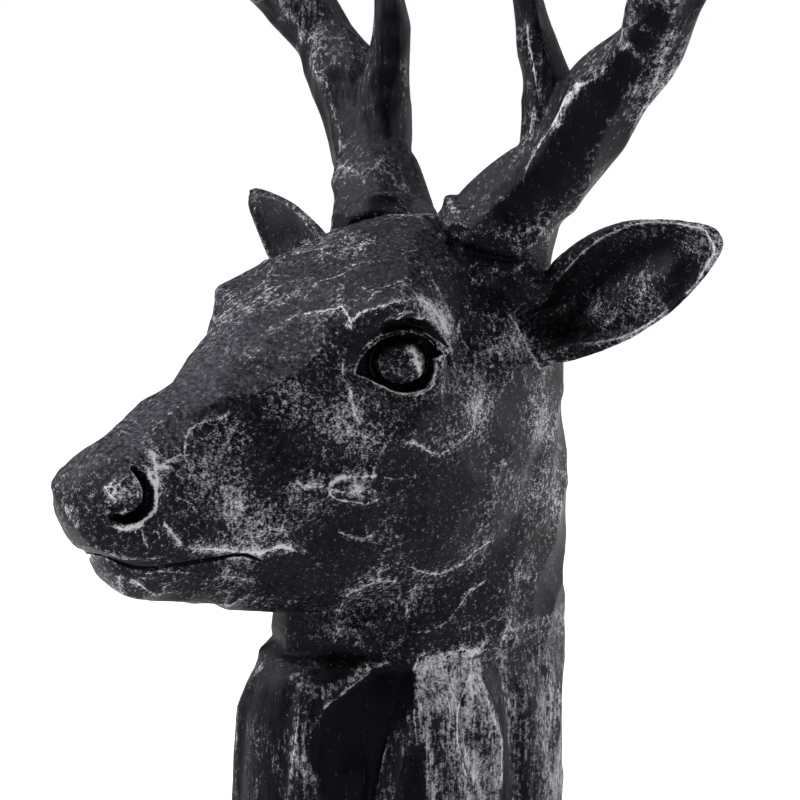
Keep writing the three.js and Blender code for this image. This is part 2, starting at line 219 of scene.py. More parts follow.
# Ridges between the gouge marks on the left side, in mirror image on the right: rubbed, half-width, points.
RIDGES = [
    (0.8, 1.3, [(16, -94, 240.5), (16, -88.5, 244.5), (16.5, -81.5, 249.5), (18.5, -76, 253),
        (25.5, -72.5, 252.5), (32, -68.5, 253.5), (35, -66, 255.5), (41, -67, 249.5),
        (43.5, -64.5, 253), (47.5, -61, 254.5), (51.5, -57, 255.5), (54, -50, 257),
        (53.5, -43.5, 258.5)]),  # brow arc
    (0.6, 1, [(15.5, -71.5, 256.5), (13.5, -65, 261), (14.5, -59.5, 264), (18.5, -55, 266),
        (23.5, -44.5, 270)]),  # forehead scoop
    (0.7, 1, [(27, -54.5, 264), (34, -54.5, 262.5), (41, -54, 260.5), (44, -58.5, 258),
        (43.5, -61, 256)]),  # forehead scoop 2
    (0.6, 1, [(41, -54, 260.5), (42, -49, 262.5), (43.5, -39.5, 263.5)]),  # brow top
    (1.2, 3.8, [(54, -43, 258.5), (53.5, -38, 256), (53.5, -34, 252.5), (53, -29, 248.5),
        (52, -25, 244), (51.5, -22, 241)]),  # brow patch
    (0.6, 1, [(42, -68.5, 245.5), (42, -67, 249.5), (44, -62, 255)]),  # brow hollow
    (0.8, 1.3, [(47.5, -56.5, 247), (50.5, -54, 250), (54, -52, 252.5), (56, -49, 255)]),  # brow crest
    (0.6, 1, [(15.5, -101, 235.5), (17.5, -94, 239.5), (23.5, -92.5, 236.5), (28, -88.5, 236),
        (30.5, -84, 238)]),  # bridge 1
    (0.5, 0.9, [(6, -117, 228.5), (6.5, -111.5, 232), (11.5, -103.5, 235.5),
        (15.5, -101, 235.5)]),  # bridge 2
    (0.5, 0.8, [(1, -88.5, 248), (10, -87.5, 247.5), (15, -83.5, 248.5)]),  # bridge 3
    (0.5, 0.8, [(1, -77, 255), (3.5, -72, 258), (6.5, -67.5, 260.5)]),  # bridge 4
    (0.5, 1, [(28.5, -94.5, 229), (32, -94.5, 222.5), (36.5, -90.5, 218.5)]),  # cheek top
    (0.8, 1.4, [(42, -72.5, 235.5), (44, -72.5, 228.5), (46.5, -72.5, 222), (48, -73, 214),
        (50, -70.5, 208.5)]),  # tear
    (1, 2.8, [(15.5, -151, 205), (19.5, -152.5, 199.5), (22, -153, 194.5), (24, -155.5, 189),
        (24, -158.5, 183.5), (23, -161.5, 179.5)]),  # nostril rim
    (0.9, 1.3, [(21.5, -152.5, 196), (20.5, -147.5, 199), (21, -139, 201.5), (19, -135.5, 207),
        (18, -133, 210), (18.5, -128, 212), (21.5, -119, 213.5), (23, -113.5, 216)]),  # muzzle 1
    (0.7, 1.2, [(21, -139, 201.5), (23, -138, 196.5), (24, -138, 191)]),  # muzzle 2
    (0.7, 1.2, [(24.5, -147, 185), (25, -142, 183.5), (26, -136.5, 178.5)]),  # muzzle 3
    (0.9, 1.5, [(24.5, -153, 177), (25, -150, 172.5), (25.5, -144, 165.5)]),  # muzzle 4
    (1, 2, [(25.5, -144, 165.5), (27, -130.5, 163), (28, -116, 160.5), (29.5, -105.5, 158.5),
        (32, -98, 161), (34, -88, 157.5)]),  # lip
    (0.6, 1, [(23, -161, 178.5), (22, -161.5, 173), (21.5, -158, 166)]),  # muzzle 5
    (0.5, 0.9, [(15.5, -151, 205), (11, -146, 210.5), (9.5, -141.5, 213.5), (9.5, -133.5, 218),
        (11.5, -127, 220)]),  # muzzle 6
    (0.6, 1, [(4.5, -170, 164.5), (11, -167.5, 164), (18.5, -159.5, 163),
        (22.5, -150, 162)]),  # upper lip edge
    (1.1, 1, [(13.5, -172.5, 192), (16.5, -172.5, 189), (19.5, -171, 185.5)]),  # knob 1
    (1, 0.9, [(15.5, -170, 194.5), (19, -169, 191.5), (20.5, -168, 187.5)]),  # knob 2
    (0.8, 1.1, [(15.5, -173.5, 182.5), (17, -172, 178.5), (20, -168, 177),
        (22.5, -163.5, 178)]),  # nostril low rim
    (0.7, 1, [(18, -163.5, 195.5), (22.5, -164, 191), (23, -164, 185.5)]),  # nostril inner rim
    (1, 2, [(42, -82, 184.5), (44.5, -76.5, 187.5), (47.5, -71, 187.5),
        (51.5, -61, 187)]),  # jaw facet top
    (0.8, 1.5, [(42, -82, 184.5), (42.5, -80, 180.5), (44, -76.5, 178), (48, -66.5, 176.5),
        (51, -59.5, 178)]),  # jaw facet low
    (0.7, 1.2, [(34.5, -100, 184.5), (36, -95, 186), (39, -89, 185), (42, -82, 184)]),  # cheek line
    (0.5, 1, [(51.5, -61, 187), (53.5, -53, 185), (55.5, -42.5, 186)]),  # cheek line 2
    (0.7, 1.5, [(41.5, -76.5, 165.5), (43, -70.5, 162.5), (45, -65, 161.5),
        (48, -58, 163.5)]),  # cheek low
    (0.8, 1.6, [(54.5, -53, 201.5), (55.5, -47, 200.5), (56, -40, 196.5), (56.5, -33, 193),
        (56.5, -23, 197), (56, -16, 201), (55, -8.5, 206.5)]),  # cheek back
    (0.6, 1.5, [(46, -44.5, 148.5), (45.5, -29.5, 142), (45.5, -21, 140.5), (47.5, -10, 144),
        (49.5, -2, 149), (48.5, 12.5, 154)]),  # jaw edge
    (0.8, 1.4, [(38.5, -32.5, 115.5), (41.5, -22.5, 116), (43.5, -14.5, 118.5), (44, -8.5, 124),
        (45, -2.5, 130), (46, 9, 135)]),  # throat ring
    (0.5, 1.4, [(43.5, -14.5, 115), (45, -2.5, 114.5), (46, 9, 116),
        (45.5, 18.5, 121.5)]),  # throat ring 2
    (0.4, 1, [(14.5, -156.5, 156), (19, -145, 155.5), (20.5, -130.5, 152.5)]),  # lip line low
    (0.6, 1.2, [(11, -158.5, 154.5), (10.5, -153, 150), (9, -144, 145),
        (14.5, -133, 145.5)]),  # chin edge
    (0.4, 1, [(-14.5, -44.5, 272), (-5.5, -35.5, 276.5), (4.5, -28, 279)]),  # crown 1
    (0.4, 1, [(43.5, -39.5, 263.5), (37.5, -33, 268)]),  # crown 2
    (0.4, 0.9, [(40, -26, 267), (44.5, -25, 262.5), (48.5, -24, 256)]),  # temple
    (0.9, 1.2, [(47, 7, 292.5), (52.5, 10, 296.5), (57, 15.5, 301.5), (57.5, 20, 310.5), (62, 24, 319),
        (68, 26.5, 325.5), (73, 28, 335.5), (77.5, 30, 342), (85, 32, 346), (93.5, 33.5, 354.5),
        (100, 33.5, 361), (109.5, 31.5, 369), (120, 26, 376.5)]),  # near beam
    (0.5, 1.2, [(82, 49.5, 318), (96.5, 47.5, 335), (112, 41.5, 354),
        (121.5, 37, 370)]),  # near beam back
    (0.8, 1.1, [(47, 29.5, 369.5), (47.5, 29.5, 359), (51, 28.5, 348), (55.5, 27.5, 333)]),  # near tine
    (0.5, 1, [(47.5, 31, 331), (56, 28, 327)]),  # near tine foot
    (0.6, 1.2, [(76.5, 42.5, 241.5), (83, 43, 246), (88.5, 43.5, 250.5)]),  # ear fold
    (0.9, 2.6, [(47, 14.5, 250), (48.5, 19, 243), (50, 24, 236), (50.5, 28.5, 228.5),
        (49.5, 37, 220.5)]),  # tragus
    # The eyeball's line is a raised ridge whose silver is a painted highlight.
    (1.1, 2.2, [(50, -46.5, 239.5), (54, -44.5, 234.5), (54.5, -43, 229.5),
        (53.5, -41, 225)]),  # eyeball
    (0.7, 1.2, [(42, -23, 107), (40.5, -29, 105.5), (39.5, -30.5, 99), (44, -35, 86.5),
        (45, -34.5, 73.5), (45, -31.5, 60), (46.5, -30, 46.5)]),  # lock A front edge
    (0.9, 1.4, [(44.5, -11, 103.5), (45, -7, 106.5), (45.5, -2, 104), (43.5, 0, 96.5), (45, -7, 86),
        (46.5, -14, 78.5), (48.5, -15, 68), (49.5, -11, 55), (48.5, -3.5, 41.5)]),  # lock A back edge
    (0.8, 1.6, [(48, 1.5, 83), (49, 6.5, 75.5), (49, 12.5, 63), (49.5, 11.5, 51),
        (50, 10, 39.5)]),  # lock B back edge
    (0.5, 1, [(45.5, 2.5, 91), (49, 2.5, 74.5), (49.5, 3.5, 57)]),  # lock B strand
    (0.8, 1.6, [(33.5, -46, 102), (31, -52, 96.5), (28, -58.5, 92), (23.5, -66, 87), (23.5, -71, 80),
        (23.5, -73, 69.5), (24.5, -71.5, 58), (24.5, -70.5, 50)]),  # hollow edge
    (0.6, 1.1, [(16, -72.5, 90), (18.5, -76, 81.5), (18, -77.5, 72), (17, -79.5, 53)]),  # lock C edge
    (0.6, 1.1, [(43.5, -35.5, 86.5), (41.5, -41.5, 79.5), (39.5, -46, 70.5), (38.5, -49.5, 60),
        (38, -51, 49)]),  # lock D edge
    (0.6, 1, [(25, -55.5, 109), (22.5, -59, 104), (21, -63.5, 99.5)]),  # throat fold
]
# Places brushed with more silver, or given painted shade below zero: middle, radius, how much.
BRUSHED = [
    ((25, -134, 191), 10, 0.42), ((28.5, -121, 182), 13, 0.48), ((25, -118, 205), 12, 0.3),
    ((31, -113, 173), 12, 0.35), ((43.5, -81, 211), 12, 0.3), ((34, -94, 219), 12, 0.35),
    ((56.5, -26, 198.5), 12, 0.4), ((55.5, -13, 210), 12, 0.35), ((47, -70, 182.5), 5, 0.7),
    ((19.5, -170, 189.5), 5, 0.2), ((51, 20, 236), 8, 0.5), ((105, 44, 258), 9, 0.36),
    ((80, 44, 248), 9, 0.35), ((0, -172, 185), 14, 0.25), ((57, -53, 236), 3, 0.4),
    ((50, -38, 219), 5, 0.4), ((54, -33.5, 222), 4, 0.4), ((46, 42, 200), 20, 0.3),
    ((46, 42, 165), 22, 0.3), ((56, -24, 182), 16, -0.35), ((50, -8, 238), 10, -0.35),
    ((42, -72, 158), 12, -0.3), ((47, -4, 124), 14, -0.4), ((46, 30, 358), 14, -0.25),
]
# Spots of painted shade, on both sides, or on the right alone where x is below zero: middle, radius.
PAINTED_SHADE_SPOTS = [
    ((50, 4, 272), 7), ((42, 0, 274), 6), ((55, 8.5, 270), 6), ((55, 33, 250), 7), ((63, 36, 258.5), 8),
    ((73, 39, 265), 8), ((86, 40.5, 270), 8), ((98, 43, 274), 8), ((112, 42.5, 276), 8),
    ((123, 43, 268), 8), ((120, 43, 256), 6), ((56, 40, 240), 6), ((53, 10, 290), 6),
    ((60, 14, 298), 8), ((66, 20, 306), 9), ((72, 25, 316), 10), ((80, 29, 327), 10),
    ((88, 31, 338), 9), ((97, 32, 350), 8), ((107, 31, 361), 7), ((116, 30, 371), 7),
    ((-38, 31, 330), 7), ((-39, 31, 343), 7), ((-38, 32, 356), 6), ((-36, 30, 369), 6),
    ((-72, 31, 343), 5), ((-21, 5, 288), 5), ((-15, 8, 291), 5),
]
# Shapes on the neck, brushed by so much or, below zero, given painted shade, fully at -1: corners by angle
# from the front and height.
# The angle is taken round the neck as if it were round, from its middle, half-width and length.
NECK_MIDDLE, NECK_HALF, NECK_LONG = 2, 50, 84
NECK_SHAPES = [
    (-1, [(48, 100), (60, 105), (64, 99), (64, 86), (59, 80), (55, 73), (51, 64), (49, 49), (47, -5),
        (33, -5), (30, 51), (30, 56), (27, 66), (28, 77), (30, 86), (37, 92)]),  # hollow
    (-1, [(20, 109), (32, 110), (37, 107), (43, 104), (37, 99), (31, 98), (28, 103),
        (21, 106)]),  # throat pocket
    (0.48, [(64, 86), (64, 96), (66, 103), (71, 105), (79, 106), (86, 103), (88, 97), (83, 88),
        (78, 76), (80, 64), (83, 50), (86, 43), (92, -5), (70, -5), (68, 47), (66, 63),
        (65, 74)]),  # lock A
    (0.54, [(90, 100), (93, 99), (92, 91), (93, 82), (97, 69), (97, 55), (96, 40), (100, -5), (92, -5),
        (87, 43), (84, 52), (79, 66), (80, 76), (84, 88)]),  # lock B
    (0.16, [(13, 93), (26, 94), (28, 77), (27, 66), (29, 53), (30, 51), (32, -5), (17, -5), (16, 50),
        (18, 66), (23, 77), (22, 85)]),  # lock C
    (0.12, [(62, 83), (64, 73), (67, 47), (69, -5), (52, -5), (50, 48), (52, 63), (56, 73)]),  # lock D
    (0.35, [(11, 98), (20, 93), (29, 90), (39, 95), (45, 103), (40, 104), (33, 97), (27, 96), (18, 101),
        (13, 102)]),  # throat folds
    (-1, [(66, 70), (67.5, 47), (71, -5), (59, -5), (58, 35), (59, 48), (63, 60)]),  # gap behind lock D
    (-0.35, [(0, 90), (13, 90), (20, 82), (17, 66), (15, 50), (16, -5), (0, -5)]),  # chest
    (0.35, [(100, 112), (150, 112), (150, -5), (104, -5)]),  # nape's edge
    (-0.45, [(60, 108), (100, 108), (104, 126), (62, 122)]),  # under the jaw
]
# The eye in its own plane: at each angle from the back corner, the opening's radius and its rim's height.
LID = [
    (-32, 16, -1.2), (-10, 16, -1.6), (4, 15.6, -1.6), (7, 19.5, -2), (12, 17.6, -1.2),
    (20, 15.8, -0.4), (39, 13.8, 0.8), (58, 12.3, 1.8), (72, 11.8, 2), (95, 11.5, 2.2),
    (114, 11.6, 1.8), (143, 12.9, 0.3), (163, 14.8, -1.6), (180, 17, -3), (191, 18.3, -4),
    (200, 14.8, -3), (209, 13.2, -2.4), (234, 11.2, -1.4), (265, 11.8, -0.3), (291, 13, -0.4),
    (317, 15.5, -0.8), (328, 16, -1.2),
]


def unit(v):
    v = np.asarray(v, float)
    return v / np.linalg.norm(v, axis=-1, keepdims=True)


def ease(x, low, high):
    """0 below low, 1 above high, and smooth between."""
    t = np.clip((x - low) / (high - low), 0, 1)
    return t * t * (3 - 2 * t)


def power(value, square):
    return np.sign(value) * np.abs(value) ** (2 / square)


def between(table, at):
    """The columns of a table read between its rows, along its first column."""
    table = np.array(table, float)
    x, y = table[:, 0], table[:, 1:]
    last = len(x) - 1
    i = np.clip(np.searchsorted(x, at) - 1, 0, last - 1)
    before, after = np.maximum(i - 1, 0), np.minimum(i + 2, last)
    span = (x[i + 1] - x[i])[:, None]
    t = np.clip((at - x[i])[:, None] / span, 0, 1)
    m0 = (y[i + 1] - y[before]) / (x[i + 1] - x[before])[:, None] * span
    m1 = (y[after] - y[i]) / (x[after] - x[i])[:, None] * span
    a = 2 * t**3 - 3 * t**2 + 1
    return a * y[i] + (t**3 - 2 * t**2 + t) * m0 + (1 - a) * y[i + 1] + (t**3 - t**2) * m1


class Clay:
    """Closed pieces gathered as one list of points and faces."""

    def __init__(self):
        self.points = []
        self.faces = []
        self.count = 0

    def add(self, points, faces):
        self.points.append(points)
        self.faces += [[i + self.count for i in face] for face in faces]
        self.count += len(points)

    def skin(self, rings):
        """Rings of points, an array by ring, point and coordinate, closed with a fan at each end."""
        rows, sides = rings.shape[:2]
        points = np.concatenate([rings.reshape(-1, 3), rings[0].mean(0)[None], rings[-1].mean(0)[None]])
        faces = []
        for i in range(rows - 1):
            for j in range(sides):
                k = (j + 1) % sides
                faces.append([i * sides + j, i * sides + k, (i + 1) * sides + k, (i + 1) * sides + j])
        first, last, top = rows * sides, rows * sides + 1, (rows - 1) * sides
        for j in range(sides):
            k = (j + 1) % sides
            faces.append([first, k, j])
            faces.append([last, top + j, top + k])
        self.add(points, faces)

    def both(self, rings):
        """The same on both sides of the head."""
        self.skin(rings)
        self.skin(rings[:, ::-1] * np.array([-1, 1, 1]))


def swell(points):
    moved = points.copy()
    for at, size, push in SWELLS:
        away = (np.abs(points) * [1, 0, 0] + points * [0, 1, 1] - at) / size
        fade = np.exp(-(away**2).sum(-1))[..., None]
        moved += fade * (np.sign(points[..., :1]) * [push[0], 0, 0] + [0, push[1], push[2]])
    return moved


def head_rings(rows=150, sides=150):
    front, back = HEAD[0][0], HEAD[-1][0]
    y = front + (back - front) * (0.5 - 0.5 * np.cos(np.linspace(0, math.pi, rows)))
    top, wide, low, half, square_up, square_low = between(HEAD, y).T[:, :, None]
    angle = np.linspace(0, 2 * math.pi, sides, endpoint=False)[None]
    up, across = np.cos(angle), np.sin(angle)
    square = np.where(up > 0, square_up, square_low)
    reach = np.where(up > 0, top - wide, wide - low)
    x = half * power(across, square)
    z = wide + reach * power(up, square)
    return swell(np.stack([x, np.broadcast_to(y[:, None], x.shape), z], -1))


def fur(angle, z):
    """How far the fur stands out of the neck at an angle in degrees and a height, with its strands."""
    chest = ease(COLLAR - z, 0, 5) * (1 - ease(np.abs(angle), *NAPE))
    ground = -LOCK_HOLLOW * chest
    proud = ground.copy()
    for top, tip, start, end, bend, width, rise in LOCKS:
        t = (top - z) / (top - tip)
        on = (t >= 0) & (t <= 1)
        t = np.clip(t, 0, 1)
        middle = start + (end - start) * t + bend * np.sin(math.pi * t)
        wide = width * np.minimum(1, 0.5 + 4 * t) * np.sqrt(1 - 0.6 * t * t)
        for centre in (middle, -middle):
            across = np.radians(angle - centre) * NECK[0][3] * 1.25
            away = np.abs(across) / wide
            crest = np.clip(1 - away**2, 0, 1) ** 0.45
            strands = 0.5 * np.sin(across * 2 + 3 * np.sin(z * 0.05 + start)) * np.clip(1.3 - away, 0, 1)
            lock = ground + (rise * np.minimum(1, 8 * t) * crest + strands) * chest
            proud = np.where(on & (away < 1), np.maximum(proud, lock), proud)
    beside = np.abs(np.abs(angle) - SHADE_ANGLE)
    shade = (1 - ease(beside, *SHADE_SIDES)) * ease(SHADE_TOP + 0.45 * np.abs(angle) - z, 0, 7)
    return proud - SHADE_DEPTH * shade


def neck_rings(rows=190, sides=260):
    z = np.linspace(0, NECK[-1][0], rows)
    mid, long, half, square = between(NECK, z).T[:, :, None]
    angle = np.linspace(0, 2 * math.pi, sides, endpoint=False)[None]
    degrees = np.degrees(np.where(angle > math.pi, angle - 2 * math.pi, angle))
    proud = fur(degrees + 0 * z[:, None], z[:, None] + 0 * degrees)
    x = (half + proud) * power(np.sin(angle), square)
    y = mid - (long + proud) * power(np.cos(angle), square)
    return np.stack([x, y, np.broadcast_to(z[:, None], x.shape)], -1)


def limb_rings(spine, rows, sides):
    """A hewn limb along a spine of (x, y, z, radius): six long flats, with one edge along the front."""
    spine = np.array(spine, float)
    steps = np.sqrt(np.linalg.norm(np.diff(spine[:, :3], axis=0), axis=1))
    along = np.concatenate([[0], np.cumsum(steps)])
    at = np.linspace(0, along[-1], rows)
    line = between(np.column_stack([along, spine]), at)
    centre, radius = line[:, :3], np.interp(at, along, spine[:, 3])
    tangent = unit(np.gradient(centre, axis=0))
    front = unit(HEWN_EDGE - tangent * (tangent @ HEWN_EDGE)[:, None])
    side = np.cross(tangent, front)
    angle = np.linspace(0, 2 * math.pi, sides, endpoint=False)[None]
    sway = 0.25 * np.sin(np.linspace(0, 9, rows))[:, None]
    flat = math.pi / HEWN_FLATS
    off = np.mod(angle - sway, 2 * flat) - flat
    reach = radius[:, None] * (0.35 + 0.65 * 1.09 * math.cos(flat) / np.cos(off))
    out = np.cos(angle)[..., None] * front[:, None] + np.sin(angle)[..., None] * side[:, None]
    return centre[:, None] + out * reach[..., None]


def opening(s):
    return np.sin(math.pi * np.clip(s, 0, 1) ** 0.85) ** 0.6


def ear_rings(side, corner, tip, facing, half_width, rows=90, arc=40):
    """A cupped leaf: each ring runs round the back from rim to rim and returns through the cup."""
    corner, tip = np.array(corner, float), np.array(tip, float)
    axis = unit(tip - corner)
    out = unit(np.array(facing, float) - axis * (np.array(facing) @ axis))
    up = -np.cross(axis, out)
    s = -EAR_ROOT + (0.985 + EAR_ROOT) * (1 - np.cos(np.linspace(0, math.pi, rows) * 0.97)) / 2 / 0.998
    row = s[:, None]
    narrow = np.maximum(1 - 2.2 * (EAR_WIDEST - s) ** 2, 0.6)
    wide = half_width * np.where(s > EAR_WIDEST, opening(s), narrow)
    deep = EAR_DEPTH * (1.05 - 0.75 * np.clip(s, 0, 1))
    deep *= np.minimum(1, 0.25 + opening(np.maximum(s, EAR_WIDEST)))
    cup = ease(s, -0.02, 0.12) * (1 - ease(s, 0.9, 0.985))
    centre = corner + (tip - corner) * row + up * (EAR_BOW * np.sin(math.pi * np.clip(row, 0, 1)))
    phi = np.linspace(-math.pi / 2, math.pi / 2, arc)[None]
    back_across = wide[:, None] * np.sin(phi)
    back_lift = -deep[:, None] * np.cos(phi)
    upper_rim = 2.4 + 5 * (1 - ease(row, 0.1, 0.75))
    lower_rim = 1.8 + 4.5 * (1 - ease(row, 0.05, 0.45))
    rim = np.where(phi > 0, upper_rim, lower_rim) + 2 * ease(row, 0.78, 0.93)
    rim = np.minimum(rim, wide[:, None] * 0.35)
    shown = ease(row, -0.02, 0.3)
    open_wide = np.maximum(half_width * opening(row), 0.3) * shown + wide[:, None] * (1 - shown)
    in_across = np.maximum(np.minimum(open_wide, wide[:, None]) - rim, 0.25) * np.sin(phi)
    lobe = np.exp(-(((phi + 0.42) / 0.42) ** 2)) * ease(row, 0.08, 0.3) * (1 - ease(row, 0.68, 0.8))
    ledge = np.exp(-(((phi - 1.05) / 0.16) ** 2)) * ease(row, 0.3, 0.45) * (1 - ease(row, 0.75, 0.9))
    steep = np.cos(phi) ** np.where(phi > 0, 0.5, 0.8)
    cup_deep = np.maximum(deep[:, None] - EAR_WALL * 0.7, 0.4) * steep - EAR_LOBE * lobe - EAR_LEDGE * ledge
    in_lift = 1.2 * np.cos(phi) * (1 - cup[:, None]) - cup_deep * cup[:, None]
    in_lift = np.maximum(in_lift, back_lift + EAR_THINNEST)
    across = np.concatenate([back_across, in_across[:, ::-1]], 1)[..., None]
    lift = np.concatenate([back_lift, in_lift[:, ::-1]], 1)[..., None]
    rings = centre[:, None] + up * across + out * lift
    inner = centre[:, None] + up * in_across[:, [2, -3], None] + out * in_lift[:, [2, -3], None]
    inner = inner[(s > 0.04) & (s < 0.93)][::4] * [side, 1, 1]
    return rings * [side, 1, 1], np.concatenate([inner[:, 0], inner[::-1, 1]])


def eye_frame():
    """The left eye's facing direction, the way to its back corner, and its up."""
    facing = unit(EYE_FACING)
    back = unit(np.cross([0, 0, 1], facing))
    return facing, back, np.cross(facing, back)


def voxel_union(clay):
    """All the clay as one skin of even quads."""
    mesh = bpy.data.meshes.new("clay")
    mesh.from_pydata(np.concatenate(clay.points).tolist(), [], clay.faces)
    bust = bpy.data.objects.new("clay", mesh)
    bpy.context.scene.collection.objects.link(bust)
    remesh = bust.modifiers.new("union", "REMESH")
    remesh.mode = "VOXEL"
    remesh.voxel_size = VOXEL
    graph = bpy.context.evaluated_depsgraph_get()
    points, faces = points_and_faces(bpy.data.meshes.new_from_object(bust.evaluated_get(graph)))
    bpy.data.objects.remove(bust)
    return points, faces


def points_and_faces(mesh):
    """The points and the faces of a mesh whose faces are all of one size."""
    points = np.zeros(len(mesh.vertices) * 3)
    mesh.vertices.foreach_get("co", points)
    corners = np.zeros(len(mesh.loops), int)
    mesh.loops.foreach_get("vertex_index", corners)
    return points.reshape(-1, 3), corners.reshape(len(mesh.polygons), -1)


def edges_of(faces):
    pairs = np.concatenate([np.stack([faces[:, i], faces[:, (i + 1) % faces.shape[1]]], 1)
                            for i in range(faces.shape[1])])
    pairs = pairs[pairs[:, 0] < pairs[:, 1]]
    return pairs[:, 0], pairs[:, 1]


class Net:
    """A mesh's points with its edges, for smoothing and normals."""

    def __init__(self, points, faces):
        self.points = points
        self.faces = faces
        self.a, self.b = edges_of(faces)
        self.links = np.bincount(self.a, minlength=len(points)) + np.bincount(self.b, minlength=len(points))

    def mean(self, values):
        """Each point's neighbours' mean of values."""
        total = np.empty_like(values)
        for k in range(values.shape[1]):
            total[:, k] = (np.bincount(self.a, values[self.b, k], len(values))
                           + np.bincount(self.b, values[self.a, k], len(values)))
        return total / self.links[:, None]

    def smooth(self, times, weight=1.0):
        weight = np.broadcast_to(weight, len(self.points))[:, None]
        for _ in range(times):
            self.points = self.points + (self.mean(self.points) - self.points) * weight * 0.6

    def normals(self):
        p, f = self.points, self.faces
        crossed = np.cross(p[f[:, 2]] - p[f[:, 0]], p[f[:, -1]] - p[f[:, 1]])
        total = np.zeros_like(p)
        for k in range(3):
            for corner in range(f.shape[1]):
                total[:, k] += np.bincount(f[:, corner], crossed[:, k], len(p))
        return unit(total + 1e-12)

    def push(self, amount):
        self.points = self.points + self.normals() * amount[:, None]


def to_left(points):
    """What to multiply each point by to bring it onto the left side."""
    return np.where(points[:, :1] < 0, [-1, 1, 1], [1, 1, 1])


def folded(net):
    """The points and normals as if all lay on the left side."""
    return net.points * to_left(net.points), net.normals() * to_left(net.points)


def surface_gap(points, normals, path):
    """Each point's distance from a path, below zero to its left, and its place along it from 0 to 1."""
    path = np.array(path, float)
    far, along = np.full(len(points), 99.0), np.zeros(len(points))
    boxed = (points > path.min(0) - PATH_REACH) & (points < path.max(0) + PATH_REACH)
    near = np.flatnonzero(boxed.all(1))
    p, n = points[near], normals[near]
    best, place, side = far[near], along[near], np.ones(len(near))
    for i, (a, b) in enumerate(zip(path[:-1], path[1:])):
        t = np.clip((p - a) @ (b - a) / ((b - a) @ (b - a)), 0, 1)
        gap = p - a - t[:, None] * (b - a)
        rise = (gap * n).sum(1)
        d = np.sqrt(np.maximum((gap**2).sum(1) - rise**2, 0)) + np.where(np.abs(rise) > PATH_DEPTH, 99, 0)
        closer = d < best
        best = np.where(closer, d, best)
        place = np.where(closer, (i + t) / (len(path) - 1), place)
        side = np.where(closer, np.where((np.cross(b - a, gap) * n).sum(1) < 0, 1, -1), side)
    far[near], along[near] = best * side, place
    return far, along


def taper(along, ends=0.14):
    return ease(along, -0.04, ends) * (1 - ease(along, 1 - ends, 1.04))


def narrowed(along):
    """A groove's width along it, as a share of its widest."""
    return 0.55 + 0.45 * taper(along, 0.5)


def carve(net):
    points, normals = folded(net)
    cut = np.zeros(len(points))
    for path, width, depth, square in GROOVES:
        far, along = surface_gap(points, normals, path)
        wall = np.exp(-(np.abs(far / (width * narrowed(along))) ** square))
        cut = np.maximum(cut, depth * (0.3 + 0.7 * taper(along)) * wall)
    for rubbed, width, path in RIDGES:
        far, along = surface_gap(points, normals, path)
        slope = np.exp(-np.maximum(np.abs(far) - width * 0.3, 0) / (1.6 + width))
        cut -= RIDGE_HEIGHT * rubbed * taper(along) * slope
    net.push(-cut)


def eye_place(points):
    """Each point over its eye's plane: towards the back corner, up, and how high it stands."""
    facing, back, up = eye_frame()
    away = points * to_left(points) - EYE
    return away @ back, away @ up, away @ facing


def from_ball(a, u):
    """The distance from the middle of the eyeball, whose edge is at 1."""
    return np.hypot((a - EYE_BACK) / EYE_BALL[0], u / EYE_BALL[1])


def eye_ring(a, u):
    """1 on the thin ring round the ball, and 0 away from it."""
    return np.exp(-(((from_ball(a, u) - EYE_RING) / EYE_RING_WIDE) ** 2))


def from_lid(a, u):
    """The distance outside the eye's opening, the rim's height there and the angle in degrees."""
    theta = np.degrees(np.arctan2(u, a))
    angles, radii, rims = np.array(LID).T
    return (np.hypot(a, u) - np.interp(theta, angles, radii, period=360),
            np.interp(theta, angles, rims, period=360), theta)


def stamp_eyes(net):
    """Each eye as a height over its own plane: the ball, the gap with its thin ring, and the lids."""
    facing = eye_frame()[0]
    a, u, height = eye_place(net.points)
    out, rim, theta = from_lid(a, u)
    upper = ease(theta, 4, 30) * (1 - ease(theta, 150, 175))
    lid = 0.9 * np.exp(-(((out - 0.5) / 0.6) ** 2)) + 0.8 * upper * np.exp(-(((out - 2.1) / 0.6) ** 2))
    away = from_ball(a, u)
    dome = EYE_EDGE + EYE_BULGE * np.sqrt(np.maximum(1 - away**2, 0))
    ball = dome + np.where(away > 1, EYE_GAP - EYE_EDGE, 0) + EYE_RING_HIGH * eye_ring(a, u)
    outside = height + (rim - height) * (1 - ease(out, 2.5, 11)) + lid
    wanted = np.where(out < 0, ball + (rim - ball) * ease(out, -0.8, 0), outside)
    near = (np.hypot(a, u) < EYE_REACH) & (np.abs(height) < EYE_DEPTH)
    net.points = net.points + np.where(near, wanted - height, 0)[:, None] * facing * to_left(net.points)


def refined(net, where):
    """Triangles, with those quads split in eight where it is asked at each point."""
    quads, count = net.faces, len(net.points)
    ends = np.sort(np.stack([quads, np.roll(quads, -1, 1)], -1).reshape(-1, 2), 1)
    code, edge = np.unique(ends[:, 0] * count + ends[:, 1], return_inverse=True)
    edge = edge.reshape(-1, 4)
    split = np.zeros(len(code), bool)
    split[edge[where[quads].all(1)].ravel()] = True
    middle = np.cumsum(split) - 1 + count
    middles = (net.points[code[split] // count] + net.points[code[split] % count]) / 2
    touched = split[edge].any(1)
    centre = np.cumsum(touched) - 1 + count + len(middles)
    centres = net.points[quads[touched]].mean(1)
    plain = quads[~touched]
    parts = [plain[:, [0, 1, 2]], plain[:, [0, 2, 3]]]
    for k in range(4):
        here, after, side = quads[:, k], quads[:, (k + 1) % 4], edge[:, k]
        whole, halved = touched & ~split[side], touched & split[side]
        parts.append(np.stack([here, after, centre], 1)[whole])
        parts.append(np.stack([here, middle[side], centre], 1)[halved])
        parts.append(np.stack([middle[side], after, centre], 1)[halved])
    return Net(np.concatenate([net.points, middles, centres]), np.concatenate(parts))


